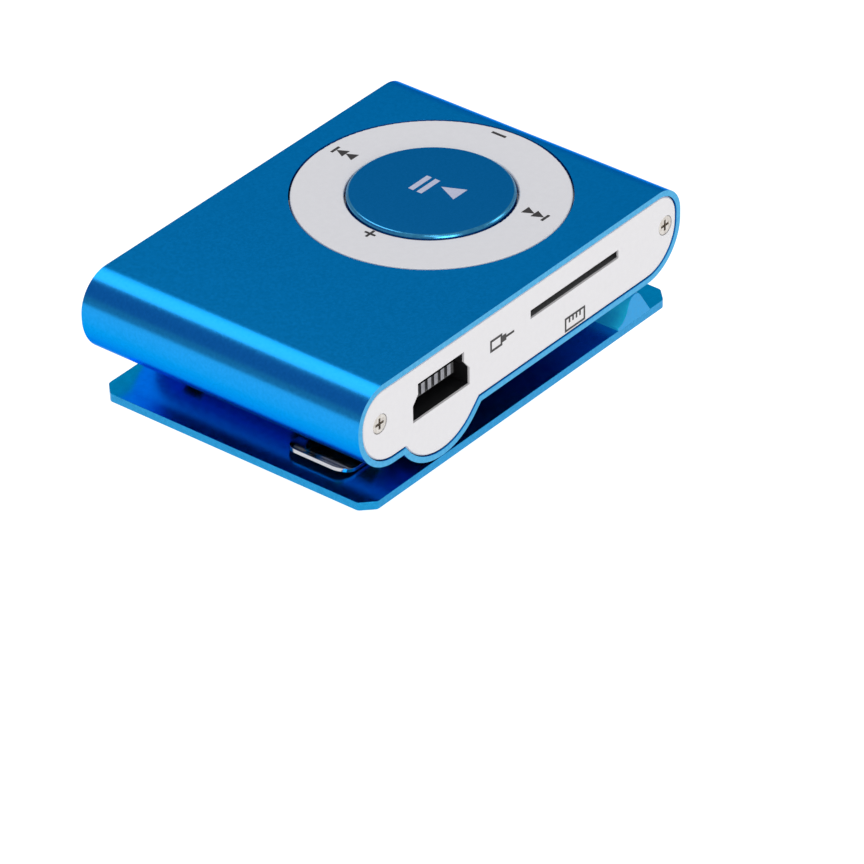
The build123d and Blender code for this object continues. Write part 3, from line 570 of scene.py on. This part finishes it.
def build_clip(made):
    """Clip plate and ridge with softened edges; the ridge keeps a blasted finish, its crest and sides in a
    lighter copy as painted light, and the plate's edges in a darker copy as painted shade.
    """
    plate = prism("clip_sheet", plate_outline(), 0, PLATE_THICK, "Z")
    ridge = prism("ridge", ridge_outline(), *PLATE_Y, "Y")
    combine(plate, ridge, "UNION")
    for lug_y in LUG_YS:
        low = (PIN[0] - LUG_HOLE_HALF[0], lug_y - LUG_HOLE_HALF[1], -1)
        high = (PIN[0] + LUG_HOLE_HALF[0], lug_y + LUG_HOLE_HALF[1], 1)
        combine(plate, block("hole", low, high), "DIFFERENCE")
    for finish in ("blue_clip", "ridge_painted_light", "clip_edge_shade", "ridge_end"):
        plate.data.materials.append(made[finish])
    round_edges(plate, PLATE_EDGE)
    for polygon in plate.data.polygons:
        center = polygon.center / MM
        # The ridge's crest and sides take the painted-light copy, its ends take ridge_end.
        if RIDGE_X[0] < center.x < RIDGE_X[1] and center.z > RIDGE_Z:
            polygon.material_index = 3 if abs(polygon.normal.y) > 0.7 else 1
        # The plate's edges and other steep faces take the darker painted-shade copy.
        elif abs(polygon.normal.z) < 0.9:
            polygon.material_index = 2
    cover(plate, "clip", "blue_clip", "clip_plate")


def build_spring(made):
    """Flat spring: coil round the pin, tongue with rounded corners and rolled edges."""
    line = [*LEAF_ROOT, *arc(PIN, COIL_RADIUS, 90, 180, 24), *LEAF_TONGUE]
    end_x = line[-1][0]
    mesh = bmesh.new()
    stations = []
    for index, (x, z) in enumerate(line):
        before = line[max(index - 1, 0)]
        after = line[min(index + 1, len(line) - 1)]
        along = Vector((after[0] - before[0], after[1] - before[1])).normalized()
        out = Vector((-along.y, along.x)) * LEAF_THICK / 2
        inward = max(0.0, LEAF_CORNER - (x - end_x)) if index > len(line) // 2 else 0.0
        half = LEAF_WIDE / 2 - LEAF_CORNER + math.sqrt(max(LEAF_CORNER ** 2 - inward ** 2, 0.0))
        section = []
        for side_y, side in ((-half, 1), (half, 1), (half, -1), (-half, -1)):
            spot = ((x + out.x * side) * MM, (SPRING_Y + side_y) * MM, (z + out.y * side) * MM)
            section.append(mesh.verts.new(spot))
        stations.append(section)
    for first, second in zip(stations, stations[1:]):
        for index in range(4):
            after = (index + 1) % 4
            mesh.faces.new((first[index], first[after], second[after], second[index]))
    mesh.faces.new(stations[0])
    mesh.faces.new(stations[-1])
    spring = link_mesh("spring_leaf", mesh)
    spring.data.materials.append(made["spring_chrome"])
    round_edges(spring, LEAF_EDGE, angle_deg=50, steps=4)
    cover(spring, "clip", "spring_chrome", "clip_spring")


# ---------------------------------------------------------------- printed signs
# Millimetres. Signs on the ring and button are at (x, y), those on the front cap at (x, z).
INK_MM = 0.02
PLUS_AT = (-1.1, 0.45)
MINUS_AT = (16.9, 1.7)
SKIP_BACK_AT = (7.1, 9.8)
SKIP_ON_AT = (9.15, -8.15)
PLAY_AT = (6.9, 0.1)
PLUG_SIGN_AT = (-2.8, 7.7)
CARD_SIGN_AT = (6.65, 4.85)


def print_sign(name, body, material, loops, place):
    """Flat print raised by INK_MM: each loop is a closed outline in millimetres, placed by a matrix."""
    mesh = bmesh.new()
    for loop in loops:
        add_prism(mesh, loop, 0, INK_MM, "Z")
    piece = link_mesh(name, mesh)
    piece.data.transform(place)
    piece.data.materials.append(material)
    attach(piece, body)


def bar(x, y, wide, tall):
    """Rectangle outline about its centre."""
    return [
        (x - wide / 2, y - tall / 2),
        (x + wide / 2, y - tall / 2),
        (x + wide / 2, y + tall / 2),
        (x - wide / 2, y + tall / 2),
    ]


def arrow(x, y, long, tall):
    """Triangle with its base at x and its tip at x + long."""
    return [(x, y - tall / 2), (x + long, y), (x, y + tall / 2)]


def frame_strokes(x, y, wide, tall, line):
    """Four strokes that make an empty rectangle."""
    return [
        bar(x, y + tall / 2 - line / 2, wide, line),
        bar(x, y - tall / 2 + line / 2, wide, line),
        bar(x - wide / 2 + line / 2, y, line, tall - 2 * line),
        bar(x + wide / 2 - line / 2, y, line, tall - 2 * line),
    ]


def on_face(x, y, z, turn_deg):
    """Places a sign on the control face; its own +x is turned from the row's +X by turn_deg."""
    return Matrix.Translation((x * MM, y * MM, z * MM)) @ Matrix.Rotation(math.radians(turn_deg), 4, "Z")


def on_front_cap(x, z, y):
    """Places a sign on the front cap, upright, reading along +X."""
    return Matrix.Translation((x * MM, y * MM, z * MM)) @ Euler((math.radians(90), 0, 0)).to_matrix().to_4x4()


def add_signs(made):
    """Key signs on the ring and the button, and two pictograms on the front cap."""
    ring_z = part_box("control_ring")[1][2] / MM
    button_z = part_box("select_button")[1][2] / MM - INK_MM
    cap_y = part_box("end_cap_front")[0][1] / MM
    dark = made["ink_dark"]
    plus = [bar(0, 0, 1.05, 0.22), bar(0, 0.32, 0.22, 0.42), bar(0, -0.32, 0.22, 0.42)]
    print_sign("sign_plus", "ring", dark, plus, on_face(*PLUS_AT, ring_z, 90))
    minus = [bar(0, 0, 1.4, 0.26)]
    print_sign("sign_minus", "ring", dark, minus, on_face(*MINUS_AT, ring_z, 90))
    skip = [arrow(-1.12, 0, 0.95, 1.0), arrow(-0.17, 0, 0.95, 1.0), bar(0.92, 0, 0.24, 1.0)]
    print_sign("sign_skip_back", "ring", dark, skip, on_face(*SKIP_BACK_AT, ring_z, 90))
    print_sign("sign_skip_on", "ring", dark, skip, on_face(*SKIP_ON_AT, ring_z, -90))
    play = [arrow(-1.95, -0.55, 1.95, 1.8), bar(0.87, 0, 0.5, 2.4), bar(1.72, 0, 0.5, 2.4)]
    silver = made["ink_silver"]
    print_sign("sign_play", "button", silver, play, on_face(*PLAY_AT, button_z, 90))
    plug = frame_strokes(-0.55, 0, 1.5, 1.1, 0.2) + [bar(0.45, 0, 0.5, 0.6), bar(1.2, 0, 1.0, 0.2)]
    print_sign("sign_plug", "player", dark, plug, on_front_cap(*PLUG_SIGN_AT, cap_y))
    contacts = [bar(-0.7 + step * 0.45, 0.25, 0.18, 0.4) for step in range(4)]
    card = frame_strokes(0, 0, 2.6, 1.3, 0.18) + contacts
    print_sign("sign_card", "player", dark, card, on_front_cap(*CARD_SIGN_AT, cap_y))


# ---------------------------------------------------------------- stage and light
# Metres. The floor is low enough for the clip to open.
FLOOR_DROP = 0.010
FLOOR_SIZE = 4.0
FLOOR_COLOR = (0.3, 0.3, 0.3, 1)
FLOOR_GLOW = (1, 1, 1, 1)
FLOOR_GLOW_STRENGTH = 0.96
WORLD_COLOR = (0.42, 0.425, 0.45, 1)
FLAG_COLOR = (0.02, 0.02, 0.025, 1)
FLAG_GLOW = (0.16, 0.21, 0.36, 1)
FLAG_DIRECTION = (132, 36)
FLAG_DISTANCE = 0.8
FLAG_SIZE = (0.62, 0.50, 0)
STAGE_ROUGHNESS = 0.9


def stage_material(name, color, glow, strength):
    """Plain matte material with a glow, for the floor and the flag."""
    material, shader = new_material(name)
    shader.inputs["Base Color"].default_value = color
    shader.inputs["Roughness"].default_value = STAGE_ROUGHNESS
    shader.inputs["Emission Color"].default_value = glow
    shader.inputs["Emission Strength"].default_value = strength
    return material


def add_stage():
    """White floor, pale surroundings, a dark flag, a broad panel behind and above, softer panels in front."""
    world = bpy.data.worlds.new("studio")
    world.use_nodes = True
    background = world.node_tree.nodes["Background"]
    background.inputs["Color"].default_value = WORLD_COLOR
    background.inputs["Strength"].default_value = 1.0
    bpy.context.scene.world = world

    bpy.ops.mesh.primitive_plane_add(size=FLOOR_SIZE, location=(0, 0, -FLOOR_DROP))
    floor = bpy.context.object
    floor.name = "floor"
    floor.data.materials.append(stage_material("floor_white", FLOOR_COLOR, FLOOR_GLOW, FLOOR_GLOW_STRENGTH))

    bpy.ops.mesh.primitive_plane_add(size=1.0)
    card = bpy.context.object
    card.name = "dark_flag"
    away = direction(*FLAG_DIRECTION)
    card.dimensions = FLAG_SIZE
    card.location = away * FLAG_DISTANCE
    card.rotation_euler = away.to_track_quat("Z", "Y").to_euler()
    card.data.materials.append(stage_material("flag_dark", FLAG_COLOR, FLAG_GLOW, 1.0))

    add_panel("back_panel", azimuth=75, elevation=57, distance=0.6, size=(0.43, 0.26), power=0.56)
    add_panel("front_panel", azimuth=-122, elevation=13, distance=0.9, size=(0.4, 0.2), power=1.15)
    add_panel("top_panel", azimuth=-120, elevation=72, distance=0.7, size=(0.3, 0.3), power=0.9)
    add_panel("right_panel", azimuth=-40, elevation=32, distance=0.7, size=(0.24, 0.12), power=0.22)


def direction(azimuth, elevation):
    """Unit vector from the object, azimuth from +X toward +Y, both in degrees."""
    level = math.cos(math.radians(elevation))
    return Vector((
        math.cos(math.radians(azimuth)) * level,
        math.sin(math.radians(azimuth)) * level,
        math.sin(math.radians(elevation)),
    ))


def add_panel(name, azimuth, elevation, distance, size, power):
    """Area light aimed at the object from a direction given in the row's axes."""
    away = direction(azimuth, elevation)
    data = bpy.data.lights.new(name, "AREA")
    data.shape = "RECTANGLE"
    data.size = size[0]
    data.size_y = size[1]
    data.energy = power
    light = bpy.data.objects.new(name, data)
    light.location = away * distance
    light.rotation_euler = away.to_track_quat("Z", "Y").to_euler()
    bpy.context.collection.objects.link(light)


def dress_cad(made):
    """Every CAD node takes the material of its slot; the card socket takes a dark grey as painted shade, so
    its slot reads dark.
    """
    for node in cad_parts.values():
        for place in node.material_slots:
            place.material = made[place.material.name.split(".")[0]]
    for node_name in ("card_socket_base", "card_socket_cover"):
        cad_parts[node_name].material_slots[0].material = made["socket_painted_shade"]


add_camera()
materials = make_materials()
dress_cad(materials)
build_case(materials)
build_button(materials)
build_clip(materials)
build_spring(materials)
add_signs(materials)
add_stage()
bpy.context.scene.view_settings.view_transform = "Standard"
